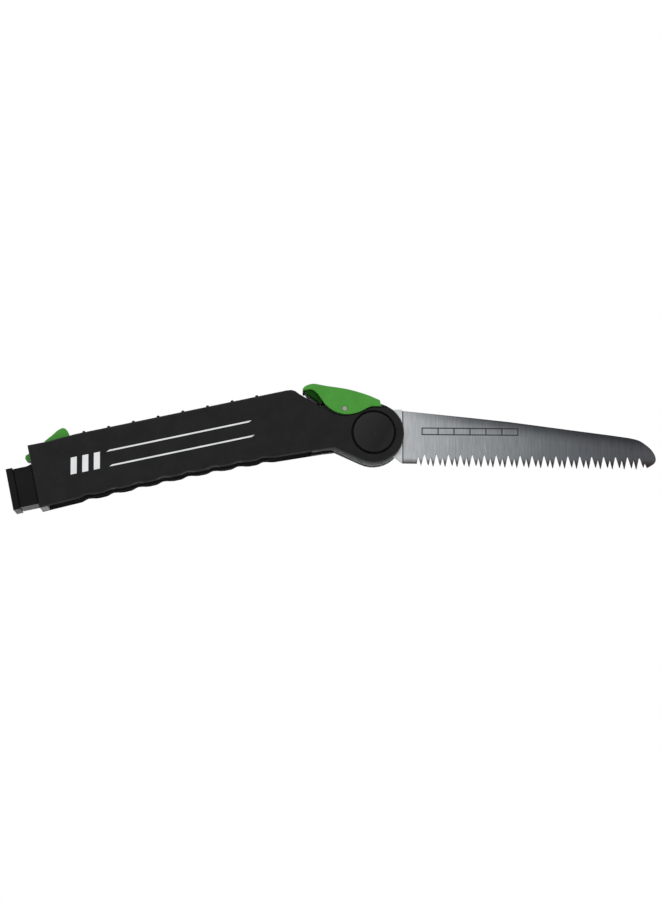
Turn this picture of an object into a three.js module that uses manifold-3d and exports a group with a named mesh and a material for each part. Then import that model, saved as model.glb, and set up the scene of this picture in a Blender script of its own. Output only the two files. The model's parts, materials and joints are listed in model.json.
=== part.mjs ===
// A folding pruning saw whose handle also telescopes.
// Millimetres, +Z up, +X along the handle towards the blade, +Y across it.
// Everything is drawn about the blade's pivot and moved at the end, so that the origin
// is the centre of the end cap's flat rear face.
import * as THREE from 'three';
import { mergeVertices } from 'three/addons/utils/BufferGeometryUtils.js';
import Module from 'manifold-3d';

const wasm = await Module();
wasm.setup();

const PIVOT_TO_BUTT = 329;
const BUTT_CENTRE_HEIGHT = 17;

const GAP = 0.3;
const PIN_GAP = 0.2;
const FAR = 400;

// Handle shells
const BODY_HALF = 15;
const SEAM = 0.15;
const EDGE_ROUND = 3;
const HEAD_RADIUS = 27.5;
const REAR = -306;
const TOP = 54.5;
const TOP_WALL = 3.6;
const GRIP_INNER = 11.8;
const HEAD_INNER = 6.85;
const GRIP_FRONT = -58;
const GRIP_FRONT_TOP = 45.5;
const GRIP_SLOPE_REAR = -65;
const NECK_TOP = 33.5;
const NECK_START = -37;
const HEAD_FRONT = 40;
const HEAD_SLOT_TOP = 29.5;
const NOSE_ROOM_REAR = -28;
const RIB = { rear: -300, front: -65, inner: 8, low: 35.1, high: 37.1 };
const LIP = { rear: -298.5, front: -62, inner: 9.4, low: -1.2, high: 1.2 };
const REAR_WALL = { thick: 2.8, low: 36.2 };
const SPRING_SHELF = { rear: -281, front: -271.6, low: 37.4, high: 39.4 };
const FOOT = { length: 7, low: -4.4 };
const BOSS_HEIGHT = 44.5;
const BOSS_RADIUS = 4.3;
const FIRST_BOSS = -258;
const BOSS_PITCH = 52;
const BOSS_COUNT = 4;
const NECK_SCREW = [-53, 35.5];

// Finger grooves and nubs
const WAVE_PITCH = 23;
const WAVE_COUNT = 8;
const FIRST_GROOVE = -263;
const GROOVE_DEPTH = 1.7;
const GROOVE_RISE = 7;
const GROOVE_FALL = 10;
const FIRST_NUB = -254.5;
const NUB_PITCH = 22.65;
const NUB_RADIUS = 1.5;
const STRIP_HALF = 11;
const STRIP_REAR = -262;
const STRIP_FRONT = -78;
const STRIP_FLOOR = TOP - 1.4;
const STRIP_PROUD = 0.2;

// Pivot
const BOLT_RADIUS = 4.3;
const SLEEVE_RADIUS = 7;
const WASHER_RADIUS = 12;
const CAP_RADIUS = 18.3;
const CAP_WELL = 20.2;
const CAP_FLOOR = 13.2;
const RING_FLOOR = 11;
const CAP_FACE = 17.6;
const DIMPLE_RADIUS = 2;
const SPIGOT_OUTER = 11;
const SPIGOT_INNER = 8.7;
const HEX_RADIUS = 8.08;
const HEX_LOW = 9;
const HEX_HIGH = 13.1;
const LINER_INNER = 5.05;
const LINER_OUTER = 6.55;
const LINER_RADIUS = 27;
const STOP_PIN = [19, 15.5];
const STOP_PIN_RADIUS = 2;
const STOP_PIN_HALF = 9;

// Blade, drawn level and then drooped
const BLADE_DROOP = 12.4;
const BLADE_HALF = 0.65;
const TANG_RADIUS = 19.8;
const PLATE_INNER = 0.95;
const PLATE_OUTER = 3.55;
const TOOTH_PITCH = 10.84;
const TOOTH_PAIRS = 18;
const FIRST_GULLET = 46.5;
const TOOTH_LINE = -27.4;
const TOOTH_LINE_SLOPE = -0.008;
const DEEP_GULLET = 10.2;
const SHALLOW_GULLET = 7.4;
const HEEL = [18.4, -19.4];

// Lock lever at the head
const LOCK_PIN = [-20.9, 26.7];
const LOCK_PIN_RADIUS = 2.2;
const LOCK_PIN_HALF = 15.2;
const CHEEK_INNER = 12.5;
const CHEEK_OUTER = 15.5;
const CHEEK_ROUND = 1;
const HOOD_THICK = 2.6;
const RECESS_FLOOR = 12.2;
const NOSE_HALF = 2.8;

// Extension section and its end cap
const SECTION_HALF = 11.4;
const SECTION_WALL = 2.4;
const SECTION_LOW = 1.5;
const SECTION_HIGH = 34.8;
const SECTION_FRONT = -62;
const SECTION_REAR = -305.5;
const SECTION_ROOF = 32.6;
const COLLAR_FRONT = REAR - GAP;
const COLLAR_LOW = -0.8;
const NECK_STEP = 0.6;
const PLUG_FRONT = -294;
const FLANGE_FRONT = -323;
const FLANGE_HALF = 12.4;
const FLANGE_PROUD = 1.1;

// Latch lever at the rear
const LATCH_PIN = [-284, 44.5];
const LATCH_PIN_RADIUS = 1.6;
const LATCH_PIN_HALF = 13;
const LATCH_ROOM = { rear: -294, front: -265.8, low: 49, armTop: 50.4 };
const LATCH_HALF = 5;
const LATCH_TAB_HALF = 7;

function colour(hex, roughness, metalness = 0) {
  return new THREE.MeshStandardMaterial({ color: hex, roughness, metalness });
}

const paint = {
  shell: () => colour(0x2b2c2f, 0.62),
  grip: () => colour(0x1d1e20, 0.8),
  foot: () => colour(0x8c8f92, 0.5),
  steel: () => colour(0x9a9ea3, 0.35, 0.9),
  blade: () => colour(0xa9adb1, 0.32, 0.9),
  plate: () => colour(0xb9bdc1, 0.4, 0.85),
  green: () => colour(0x429e38, 0.45),
  section: () => colour(0x202124, 0.5),
  cap: () => colour(0x26272a, 0.55),
};

const root = new THREE.Group();
root.name = 'folding_pruning_saw';

// ---------- solids ----------

function toSolid(geometry) {
  geometry.deleteAttribute('normal');
  geometry.deleteAttribute('uv');
  const merged = mergeVertices(geometry, 1e-4);
  return new wasm.Manifold(new wasm.Mesh({
    numProp: 3,
    vertProperties: new Float32Array(merged.attributes.position.array),
    triVerts: new Uint32Array(merged.index.array),
  }));
}

function addPart(name, solid, material) {
  const placed = solid.translate([PIVOT_TO_BUTT, 0, -BUTT_CENTRE_HEIGHT]);
  const data = placed.getMesh();
  const geometry = new THREE.BufferGeometry();
  geometry.setAttribute('position', new THREE.BufferAttribute(new Float32Array(data.vertProperties), 3));
  geometry.setIndex(new THREE.BufferAttribute(new Uint32Array(data.triVerts), 1));
  geometry.computeVertexNormals();
  const mesh = new THREE.Mesh(geometry, material);
  mesh.name = name;
  root.add(mesh);
}

// A side outline (along, up) given its width from near to far.
function slab(points, near, far, round = 0) {
  const shape = new THREE.Shape(points.map(([along, up]) => new THREE.Vector2(along, up)));
  const geometry = new THREE.ExtrudeGeometry(shape, {
    depth: far - near - 2 * round,
    bevelEnabled: round > 0,
    bevelThickness: round,
    bevelSize: round,
    bevelOffset: -round,
    bevelSegments: 2,
    steps: 1,
  });
  geometry.rotateX(Math.PI / 2);
  geometry.translate(0, far - round, 0);
  return toSolid(geometry);
}

function block(along0, along1, near, far, low, high) {
  return slab([[along0, low], [along1, low], [along1, high], [along0, high]], near, far);
}

// A round bar across the handle.
function bar(radius, near, far, [along, up] = [0, 0], sides = 32) {
  const geometry = new THREE.CylinderGeometry(radius, radius, far - near, sides);
  geometry.translate(along, (near + far) / 2, up);
  return toSolid(geometry);
}

// A turned shape about an axis across the handle, from (radius, across) points.
function turned(profile, [along, up] = [0, 0], sides = 32) {
  const points = [...profile, profile[0]].map(([radius, across]) => new THREE.Vector2(radius, across));
  const geometry = new THREE.LatheGeometry(points, sides);
  geometry.translate(along, 0, up);
  const solid = toSolid(geometry);
  return solid.volume() < 0 ? toSolid(flipped(geometry)) : solid;
}

function flipped(geometry) {
  const copy = geometry.clone();
  const order = copy.index.array;
  for (let i = 0; i < order.length; i += 3) {
    [order[i], order[i + 1]] = [order[i + 1], order[i]];
  }
  return copy;
}

function arc(radius, fromDeg, toDeg, steps) {
  return Array.from({ length: steps + 1 }, (_, i) => {
    const angle = THREE.MathUtils.degToRad(fromDeg + ((toDeg - fromDeg) * i) / steps);
    return [radius * Math.cos(angle), radius * Math.sin(angle)];
  });
}

function bothSides(build) {
  return [[1, 'left'], [-1, 'right']].forEach(([side, word]) => build(side, word));
}

// The same thing on the other side of the middle plane.
function onSide(solid, side) {
  return side > 0 ? solid : solid.mirror([0, 1, 0]);
}

function coil({ radius, wire, turns, low, high, along }) {
  class Helix extends THREE.Curve {
    getPoint(t, target = new THREE.Vector3()) {
      const angle = 2 * Math.PI * turns * t;
      return target.set(along + radius * Math.cos(angle), radius * Math.sin(angle), low + (high - low) * t);
    }
  }
  const points = turns * 10;
  const sides = 6;
  const tube = new THREE.TubeGeometry(new Helix(), points, wire, sides, false);
  return toSolid(closedTube(tube, points, sides));
}

// Closes a tube's two ends with a fan of triangles each.
function closedTube(tube, points, sides) {
  const position = Array.from(tube.attributes.position.array);
  const index = Array.from(tube.index.array);
  const ring = sides + 1;
  [0, points].forEach((station) => {
    const start = station * ring;
    for (let side = 1; side < sides - 1; side += 1) {
      const fan = [start, start + side, start + side + 1];
      index.push(...(station === 0 ? fan : fan.reverse()));
    }
  });
  const geometry = new THREE.BufferGeometry();
  geometry.setAttribute('position', new THREE.BufferAttribute(new Float32Array(position), 3));
  geometry.setIndex(index);
  const merged = mergeVertices(geometry, 1e-4);
  return signedVolume(merged) < 0 ? flipped(merged) : merged;
}

function signedVolume(geometry) {
  const place = geometry.attributes.position;
  const order = geometry.index.array;
  const corner = [0, 1, 2].map(() => new THREE.Vector3());
  let sum = 0;
  for (let i = 0; i < order.length; i += 3) {
    corner.forEach((vector, k) => vector.fromBufferAttribute(place, order[i + k]));
    sum += corner[0].dot(corner[1].clone().cross(corner[2]));
  }
  return sum / 6;
}

// ---------- handle shells ----------

// The lower edge without its grooves: a long, shallow arch that drops towards the neck.
const LOWER_EDGE = new THREE.SplineCurve([
  new THREE.Vector2(REAR, -4.8),
  new THREE.Vector2(-250, -3),
  new THREE.Vector2(-190, -1.8),
  new THREE.Vector2(-140, -2),
  new THREE.Vector2(-92, -3.6),
  new THREE.Vector2(-50, -5.6),
  new THREE.Vector2(NECK_START, -6.8),
]);
const NECK_TANGENT_DEG = 233.4;

function lowerEdgeAt(along) {
  let low = 0;
  let high = 1;
  for (let i = 0; i < 30; i += 1) {
    const middle = (low + high) / 2;
    if (LOWER_EDGE.getPoint(middle).x < along) low = middle;
    else high = middle;
  }
  return LOWER_EDGE.getPoint(low).y;
}

// How deep the nearest finger groove is, at an offset from its deepest line.
function grooveAt(offset) {
  const span = offset < 0 ? GROOVE_RISE : GROOVE_FALL;
  const share = Math.min(Math.abs(offset) / span, 1);
  return (GROOVE_DEPTH * (1 + Math.cos(Math.PI * share))) / 2;
}

function lowerEdge() {
  const offsets = [-GROOVE_RISE, -GROOVE_RISE * 0.65, -GROOVE_RISE * 0.35, 0,
    GROOVE_FALL * 0.35, GROOVE_FALL * 0.65, GROOVE_FALL];
  const points = [];
  for (let i = 0; i < WAVE_COUNT; i += 1) {
    const middle = FIRST_GROOVE + WAVE_PITCH * i;
    offsets.forEach((offset) => {
      points.push([middle + offset, lowerEdgeAt(middle + offset) + grooveAt(offset)]);
    });
  }
  [-75, -60, -48].forEach((along) => points.push([along, lowerEdgeAt(along)]));
  return [[REAR, lowerEdgeAt(REAR)], ...points, [NECK_START, lowerEdgeAt(NECK_START)]];
}

function bodyOutline() {
  return [
    ...lowerEdge(),
    ...arc(HEAD_RADIUS, NECK_TANGENT_DEG - 360, 80, 22),
    [-6, NECK_TOP],
    [-42, NECK_TOP],
    [-44.5, 36.3],
    [-58.2, 49.1],
    [-60.8, 52.2],
    [-64, 54],
    [-68.5, TOP],
    [-262, TOP],
    [-288, TOP - 1.5],
    [REAR, TOP - 1.3],
  ];
}

// Where the lock lever's cheeks lie and swing beside the neck.
const LEVER_RECESS = [
  [16, 60], [16, 19.4], [11.8, 20.2], [2.2, 22.4], [-6.9, 20.1], [-14.3, 19.2], [-22.5, 19.4],
  [-31, 22.8], [-36.5, 27.4], [-40.8, 32.4], [-46, 40], [-50, 60],
];

function screwPlaces() {
  const grip = Array.from({ length: BOSS_COUNT }, (_, i) => [FIRST_BOSS + BOSS_PITCH * i, BOSS_HEIGHT]);
  return [...grip, NECK_SCREW];
}

const SCREW = { shaft: 1.5, hole: 1.8, head: 3, well: 3.4, seat: 11.6, face: 14.2, tip: -8, bore: -9 };

// The full-width body less everything that is hollow in it; each shell is one side of it.
function bodySolid() {
  const outer = slab(bodyOutline(), -BODY_HALF, BODY_HALF, EDGE_ROUND);
  return wasm.Manifold.difference([outer, ...gripHollow(), ...headSlot(), ...pivotHoles(), ...leverRoom(),
    ...latchRoom(), stripRoom()]);
}

function gripHollow() {
  const across = [-GRIP_INNER - 1, GRIP_INNER + 1];
  const profile = [
    [REAR - 10, -30], [GRIP_FRONT, -30], [GRIP_FRONT, GRIP_FRONT_TOP],
    [GRIP_SLOPE_REAR, TOP - TOP_WALL], [REAR - 10, TOP - TOP_WALL],
  ];
  const hollow = slab(profile, -GRIP_INNER, GRIP_INNER);
  const rails = [1, -1].flatMap((side) => {
    const guides = [RIB, LIP].map(({ rear, front, inner, low, high }) => (
      block(rear, front, inner, GRIP_INNER + 1, low, high)
    ));
    return guides.map((guide) => onSide(guide, side));
  });
  const bosses = screwPlaces().map((place) => bar(BOSS_RADIUS, ...across, place, 20));
  const rearWall = block(REAR, REAR + REAR_WALL.thick, ...across, REAR_WALL.low, TOP);
  const { rear, front, low, high } = SPRING_SHELF;
  const springShelf = block(rear, front, ...across, low, high);
  return [wasm.Manifold.difference([hollow, ...rails, ...bosses, rearWall, springShelf]), ...screwHoles()];
}

function screwHoles() {
  return screwPlaces().flatMap((place) => [
    bar(SCREW.hole, SCREW.bore, BODY_HALF, place, 16),
    bar(SCREW.well, SCREW.seat - GAP, BODY_HALF + 1, place, 20),
  ]);
}

function headSlot() {
  const throat = block(GRIP_FRONT - 1, HEAD_FRONT, -HEAD_INNER, HEAD_INNER, -60, HEAD_SLOT_TOP);
  const noseRoom = block(NOSE_ROOM_REAR, HEAD_FRONT, -HEAD_INNER, HEAD_INNER, HEAD_SLOT_TOP - 10, 80);
  return [throat, noseRoom];
}

function pivotHoles() {
  return [
    bar(BOLT_RADIUS + PIN_GAP, -BODY_HALF, BODY_HALF),
    ...[1, -1].flatMap((side) => [
      onSide(bar(SPIGOT_OUTER + GAP, HEX_LOW - GAP, BODY_HALF + 1, [0, 0], 40), side),
      onSide(bar(CAP_WELL, CAP_FLOOR, BODY_HALF + 1, [0, 0], 56), side),
      onSide(shadowRing(), side),
    ]),
    bar(STOP_PIN_RADIUS + PIN_GAP, -STOP_PIN_HALF - GAP, STOP_PIN_HALF + GAP, STOP_PIN, 20),
    bar(LOCK_PIN_RADIUS + PIN_GAP, -BODY_HALF - 1, BODY_HALF + 1, LOCK_PIN, 20),
  ];
}

// The deep groove round the rim of a pivot cap.
function shadowRing() {
  const outer = bar(CAP_WELL, RING_FLOOR, CAP_FLOOR + 1, [0, 0], 56);
  return outer.subtract(bar(CAP_RADIUS - 0.8, 0, BODY_HALF, [0, 0], 56));
}

function leverRoom() {
  return [1, -1].map((side) => onSide(slab(LEVER_RECESS, RECESS_FLOOR, BODY_HALF + 1), side));
}

function latchRoom() {
  const tabHalf = LATCH_TAB_HALF + 0.5;
  const armHalf = LATCH_HALF + 0.5;
  const pinHalf = LATCH_PIN_HALF + GAP;
  return [
    block(LATCH_ROOM.rear, LATCH_ROOM.front, -tabHalf, tabHalf, LATCH_ROOM.low, TOP + 6),
    block(REAR - 5, REAR + 5, -armHalf, armHalf, REAR_WALL.low - 1, LATCH_ROOM.armTop),
    bar(LATCH_PIN_RADIUS + PIN_GAP, -pinHalf, pinHalf, LATCH_PIN, 16),
  ];
}

function stripRoom() {
  const half = STRIP_HALF + GAP;
  return block(STRIP_REAR - GAP, STRIP_FRONT + GAP, -half, half, STRIP_FLOOR - GAP, TOP + 10);
}

function addShells() {
  const body = bodySolid();
  bothSides((side, word) => {
    const half = side > 0 ? block(-FAR, FAR, SEAM, 50, -FAR, FAR) : block(-FAR, FAR, -50, -SEAM, -FAR, FAR);
    addPart(`${word}_shell`, body.intersect(half), paint.shell());
  });
}

function addShellScrews() {
  const { shaft, head, seat, face, tip } = SCREW;
  screwPlaces().forEach((place, i) => {
    const screw = turned([[0, tip], [shaft, tip + 1], [shaft, seat], [head, seat], [head, face - 0.5],
      [head - 0.5, face], [0, face]], place, 16);
    const drive = bar(1.3, face - 1.2, face + 1, place, 6);
    addPart(`shell_screw_${i + 1}`, screw.subtract(drive), paint.steel());
  });
}

function addGripStrip() {
  const strip = block(STRIP_REAR, STRIP_FRONT, -STRIP_HALF, STRIP_HALF, STRIP_FLOOR, TOP + STRIP_PROUD);
  const nubs = Array.from({ length: WAVE_COUNT }, (_, i) => (
    bar(NUB_RADIUS, -STRIP_HALF, STRIP_HALF, [FIRST_NUB + NUB_PITCH * i, TOP + 0.1], 16)
  ));
  const below = block(-FAR, FAR, -20, 20, 0, STRIP_FLOOR);
  addPart('grip_strip', wasm.Manifold.union([strip, ...nubs]).subtract(below), paint.grip());
}

function addRearFoot() {
  const half = GRIP_INNER - GAP;
  addPart('rear_foot', block(REAR, REAR + FOOT.length, -half, half, FOOT.low, LIP.high), paint.foot());
}

// ---------- head and pivot ----------

const LINER_OUTLINE = [
  ...arc(LINER_RADIUS, NECK_TANGENT_DEG - 360, 78, 20),
  [-8, 31.8], [-27.4, 31.8], [-27.4, 29.2], [-57, 29.2], [-57, -1], [-42, -2.5], [-35, -7.4],
];

function addLiners() {
  bothSides((side, word) => {
    const plate = slab(LINER_OUTLINE, LINER_INNER, LINER_OUTER);
    const holes = [
      bar(BOLT_RADIUS + PIN_GAP, 0, 20),
      bar(STOP_PIN_RADIUS + PIN_GAP, 0, 20, STOP_PIN, 20),
      bar(LOCK_PIN_RADIUS + PIN_GAP, 0, 20, LOCK_PIN, 20),
    ];
    addPart(`${word}_liner`, onSide(wasm.Manifold.difference([plate, ...holes]), side), paint.steel());
  });
}

function addPivot() {
  const shank = bar(BOLT_RADIUS, -HEX_LOW - 1, HEX_HIGH - 0.3);
  const head = bar(HEX_RADIUS, -HEX_HIGH, -HEX_LOW, [0, 0], 6);
  addPart('pivot_bolt', shank.add(head), paint.steel());
  const nut = bar(HEX_RADIUS, HEX_LOW, HEX_HIGH, [0, 0], 6).subtract(bar(BOLT_RADIUS + PIN_GAP, 0, 20));
  addPart('pivot_nut', nut, paint.steel());
  const sleeveHalf = LINER_INNER - GAP;
  const sleeve = bar(SLEEVE_RADIUS, -sleeveHalf, sleeveHalf).subtract(bar(BOLT_RADIUS + PIN_GAP, -20, 20));
  addPart('pivot_sleeve', sleeve, paint.steel());
  bothSides((side, word) => {
    const disc = bar(WASHER_RADIUS, PLATE_OUTER + GAP, sleeveHalf);
    const washer = disc.subtract(bar(SLEEVE_RADIUS + GAP, 0, 20));
    addPart(`${word}_pivot_washer`, onSide(washer, side), paint.steel());
  });
}

function addPivotCaps() {
  const inner = CAP_FLOOR + GAP;
  const profile = [
    [0, inner], [SPIGOT_INNER, inner], [SPIGOT_INNER, HEX_LOW + 1.5], [SPIGOT_OUTER, HEX_LOW + 1.5],
    [SPIGOT_OUTER, inner], [CAP_RADIUS, inner], [CAP_RADIUS, CAP_FACE - 1.6],
    [CAP_RADIUS - 0.4, CAP_FACE - 0.9], [CAP_RADIUS - 1.2, CAP_FACE - 0.5], [DIMPLE_RADIUS, CAP_FACE],
    [0, CAP_FACE - 0.8],
  ];
  const cap = turned(profile, [0, 0], 56);
  bothSides((side, word) => addPart(`${word}_pivot_cap`, onSide(cap, side), paint.cap()));
}

function addPins() {
  addPart('blade_stop_pin', bar(STOP_PIN_RADIUS, -STOP_PIN_HALF, STOP_PIN_HALF, STOP_PIN, 20), paint.steel());
  addPart('lock_lever_pin', bar(LOCK_PIN_RADIUS, -LOCK_PIN_HALF, LOCK_PIN_HALF, LOCK_PIN, 20), paint.steel());
  const latchPin = bar(LATCH_PIN_RADIUS, -LATCH_PIN_HALF, LATCH_PIN_HALF, LATCH_PIN, 16);
  addPart('latch_lever_pin', latchPin, paint.steel());
}

// ---------- blade ----------

function drooped(solid) {
  return solid.rotate([0, BLADE_DROOP, 0]);
}

function toothLine(along) {
  return TOOTH_LINE + TOOTH_LINE_SLOPE * (along - FIRST_GULLET);
}

// Big raker-style pairs: a deep gullet, a short tooth, a shallow gullet and a long tooth.
function toothedEdge() {
  const points = [[26.8, -25.7], [39.6, -25.8], [41, -19.4], [43.4, -27.6]];
  for (let i = 0; i < TOOTH_PAIRS; i += 1) {
    const start = FIRST_GULLET + TOOTH_PITCH * i;
    const line = toothLine(start);
    points.push([start - 0.3, line + DEEP_GULLET], [start + 0.3, line + DEEP_GULLET],
      [start + 3.4, line + 0.2],
      [start + 5.6, line + SHALLOW_GULLET], [start + 7.9, line - 0.7]);
  }
  const last = FIRST_GULLET + TOOTH_PITCH * TOOTH_PAIRS;
  const line = toothLine(last);
  return [...points, [last - 0.3, line + DEEP_GULLET - 1], [last + 0.3, line + DEEP_GULLET - 1],
    [last + 3.2, line + 0.4], [last + 4.9, line + SHALLOW_GULLET - 2.6], [last + 6.8, line + 0.6]];
}

const BLADE_TIP = [[251, -26.9], [254.8, -24.4], [256.5, -21.2], [255.8, -16.8], [253, -12], [248.4, -7.6],
  [241.5, -3.1], [233, -0.9]];
const BLADE_BACK = [[215, 1.6], [179, 6.1], [124.4, 13.1], [88, 16.8]];
const BLADE_ROOT_TOP = [26.6, 22.7];
const SHOULDER = 17.6;
const PLATE_FRONT = 26.3;
const PLATE_TOP = 23.4;
const PLATE_LOW = -25.4;
const RIVETS = [[20.5, 7], [20.5, -9]];
const RIVET_RADIUS = 2;
const RIVET_HOLE = 2.2;

// The rounded tang from its shoulder, back round the pivot to the heel.
function tangArc(radius) {
  const shoulderDeg = THREE.MathUtils.radToDeg(Math.acos(SHOULDER / radius));
  return arc(radius, shoulderDeg, 310, 24);
}

function tangHoles() {
  return [bar(SLEEVE_RADIUS + GAP, -5, 5), ...RIVETS.map((place) => bar(RIVET_HOLE, -5, 5, place, 16))];
}

function addBlade() {
  const outline = [...toothedEdge(), ...BLADE_TIP, ...BLADE_BACK, BLADE_ROOT_TOP,
    [SHOULDER, BLADE_ROOT_TOP[1]], ...tangArc(TANG_RADIUS), HEEL];
  const blade = slab(outline, -BLADE_HALF, BLADE_HALF);
  addPart('blade', drooped(wasm.Manifold.difference([blade, ...tangHoles()])), paint.blade());
}

function addTangPlates() {
  const outline = [[PLATE_FRONT, PLATE_LOW], [PLATE_FRONT, PLATE_TOP], [SHOULDER, PLATE_TOP],
    ...tangArc(TANG_RADIUS), HEEL];
  bothSides((side, word) => {
    const plate = wasm.Manifold.difference([slab(outline, PLATE_INNER, PLATE_OUTER), ...tangHoles()]);
    addPart(`${word}_tang_plate`, drooped(onSide(plate, side)), paint.plate());
  });
  RIVETS.forEach((place, i) => {
    const rivet = bar(RIVET_RADIUS, -PLATE_OUTER, PLATE_OUTER, place, 16);
    addPart(`tang_rivet_${i + 1}`, drooped(rivet), paint.steel());
  });
}

// ---------- lock lever ----------

const HOOD_TOP = [[11.9, 28], [1.3, 35.5], [-12.4, 43], [-22, 47], [-31, 50.3], [-38.1, 53],
  [-43.9, 55.2], [-50.4, 55.1], [-53.6, 53.7], [-54.7, 52]];
const HOOD_UNDER = [[-52, 50.2], [-48.6, 50.3], [-45, 49], [-42, 45], [-39.4, 39.5], [-37.6, 34.9],
  [-33.7, 29.5], [-29.3, 25.4], [-22, 21.7], [-14.3, 20.7], [-6.9, 21.3], [2.2, 23.7], [10.4, 21.9]];

// The block under the thumb tab that the spring bears on.
const TAB_WEB = [[-52.6, 51], [-51.2, 48], [-43.4, 39.8], [-42, 39.8], [-42, 42.2], [-36, 42.2], [-35, 50.6],
  [-44, 53.6], [-50, 53.4]];
const WEB_HALF = 9;

// The web's two skirts, one on each side of the spring.
const SKIRT = [[-43.4, 39.8], [-41.4, 37.8], [-36.4, 37.4], [-35.6, 43], [-43.4, 43]];
const SKIRT_INNER = 4.5;
const NOSE = [[1.5, 33], [1.5, 21.3], [9.6, 19.6], [10.2, 27]];

function addLockLever() {
  const outer = slab([...HOOD_TOP, ...HOOD_UNDER], -CHEEK_OUTER, CHEEK_OUTER, CHEEK_ROUND);
  const inside = HOOD_TOP.slice(0, -1).map(([along, up]) => [along - HOOD_THICK * 0.4, up - HOOD_THICK]);
  const hollow = slab([[14, 10], ...inside, [-60, 50.2], [-60, 10]], -CHEEK_INNER, CHEEK_INNER);
  const headRoom = bar(HEAD_RADIUS + 0.6, -CHEEK_INNER, CHEEK_INNER, [0, 0], 48);
  const nose = slab(NOSE, -NOSE_HALF, NOSE_HALF);
  const web = slab(TAB_WEB, -WEB_HALF, WEB_HALF);
  const skirts = [1, -1].map((side) => onSide(slab(SKIRT, SKIRT_INNER, WEB_HALF), side));
  const pinHole = bar(LOCK_PIN_RADIUS + PIN_GAP, -20, 20, LOCK_PIN, 20);
  const hood = wasm.Manifold.difference([outer, hollow, headRoom, pinHole]);
  addPart('lock_lever', wasm.Manifold.union([hood, nose, web, ...skirts]), paint.green());
}

const LOCK_SPRING = { radius: 2.3, wire: 0.45, turns: 3, low: 34.3, high: 41.4, along: -38.6 };

function addLockSpring() {
  addPart('lock_spring', coil(LOCK_SPRING), paint.steel());
}

// ---------- extension section ----------

const SHOE = { middle: -67, padHalf: 4, padWide: 7.5, padTop: 38.5 };
const STUB_HALF = 2;
const CAP_PINS = [[-299.5, 9], [-299.5, 26]];
const CAP_PIN_RADIUS = 1.6;

// The peg under the guide shoe, or the hole that it stands in.
function squarePeg(half, low, high) {
  return block(SHOE.middle - half, SHOE.middle + half, -half, half, low, high);
}

function capPinHoles() {
  return CAP_PINS.map((place) => bar(CAP_PIN_RADIUS + PIN_GAP, -20, 20, place, 16));
}

function addSection() {
  const outer = block(SECTION_REAR, SECTION_FRONT, -SECTION_HALF, SECTION_HALF, SECTION_LOW, SECTION_HIGH);
  const innerHalf = SECTION_HALF - SECTION_WALL;
  const ends = [SECTION_REAR - 5, SECTION_FRONT + 5];
  const channel = block(...ends, -innerHalf, innerHalf, SECTION_LOW - 5, SECTION_ROOF);
  const stubHole = squarePeg(STUB_HALF + GAP, SECTION_ROOF - 1, SECTION_HIGH + 1);
  const section = wasm.Manifold.difference([outer, channel, stubHole, ...capPinHoles()]);
  addPart('extension_section', section, paint.section());
}

function addGuideShoe() {
  const { middle, padHalf, padWide, padTop } = SHOE;
  const padLow = SECTION_HIGH + GAP;
  const pad = block(middle - padHalf, middle + padHalf, -padWide, padWide, padLow, padTop);
  const stub = squarePeg(STUB_HALF, SECTION_ROOF + PIN_GAP, padLow + 1);
  addPart('guide_shoe', pad.add(stub), paint.section());
}

function addEndCap() {
  const plugHalf = SECTION_HALF - SECTION_WALL - GAP;
  const plug = block(PLUG_FRONT, FLANGE_FRONT, -plugHalf, plugHalf, SECTION_LOW, SECTION_ROOF - GAP);
  const neckHalf = SECTION_HALF - NECK_STEP;
  const neck = block(FLANGE_FRONT - 1, SECTION_REAR - 2, -neckHalf, neckHalf, COLLAR_LOW + NECK_STEP,
    SECTION_HIGH - NECK_STEP);
  const collarRear = FLANGE_FRONT + NECK_STEP;
  const collar = slab([
    [collarRear, COLLAR_LOW], [COLLAR_FRONT, COLLAR_LOW], [COLLAR_FRONT, SECTION_HIGH + 1.3],
    [COLLAR_FRONT - 2.2, SECTION_HIGH + 0.4], [COLLAR_FRONT - 4.7, SECTION_HIGH], [collarRear, SECTION_HIGH],
  ], -SECTION_HALF, SECTION_HALF);
  const flange = block(-PIVOT_TO_BUTT, FLANGE_FRONT, -FLANGE_HALF, FLANGE_HALF, COLLAR_LOW - FLANGE_PROUD,
    SECTION_HIGH + FLANGE_PROUD);
  const holes = wasm.Manifold.union(capPinHoles());
  const cap = wasm.Manifold.union([plug, neck, collar, flange]).subtract(holes);
  addPart('end_cap', cap, paint.cap());
  const pinHalf = SECTION_HALF - PIN_GAP;
  CAP_PINS.forEach((place, i) => {
    addPart(`end_cap_pin_${i + 1}`, bar(CAP_PIN_RADIUS, -pinHalf, pinHalf, place, 16), paint.steel());
  });
}

// ---------- rear latch ----------

const LATCH_TAB = [[-291, 54.8], [-288.5, 56.1], [-283, 59], [-277.5, 62.3], [-272.9, 63.7], [-270.2, 62.4],
  [-268.7, 59.6], [-268.3, 55], [-268.8, 47], [-288, 47]];
const LATCH_ARM = [[-268.8, 46], [-268.8, 48.6], [-288, 48.6], [-297, 46.8], [-307.3, 46.8], [-309.9, 45.8],
  [-310.9, 43.2], [-309.9, 40.6], [-307.3, 39.6], [-299, 39.6], [-299, 35.3], [-292, 35.3], [-292, 41],
  [-286, 41], [-281, 41], [-278.2, 44.2], [-270, 44.2]];

function addLatchLever() {
  const tab = slab(LATCH_TAB, -LATCH_TAB_HALF, LATCH_TAB_HALF, 0.8);
  const arm = slab(LATCH_ARM, -LATCH_HALF, LATCH_HALF);
  const pinHole = bar(LATCH_PIN_RADIUS + PIN_GAP, -20, 20, LATCH_PIN, 16);
  addPart('latch_lever', tab.add(arm).subtract(pinHole), paint.green());
}

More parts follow.
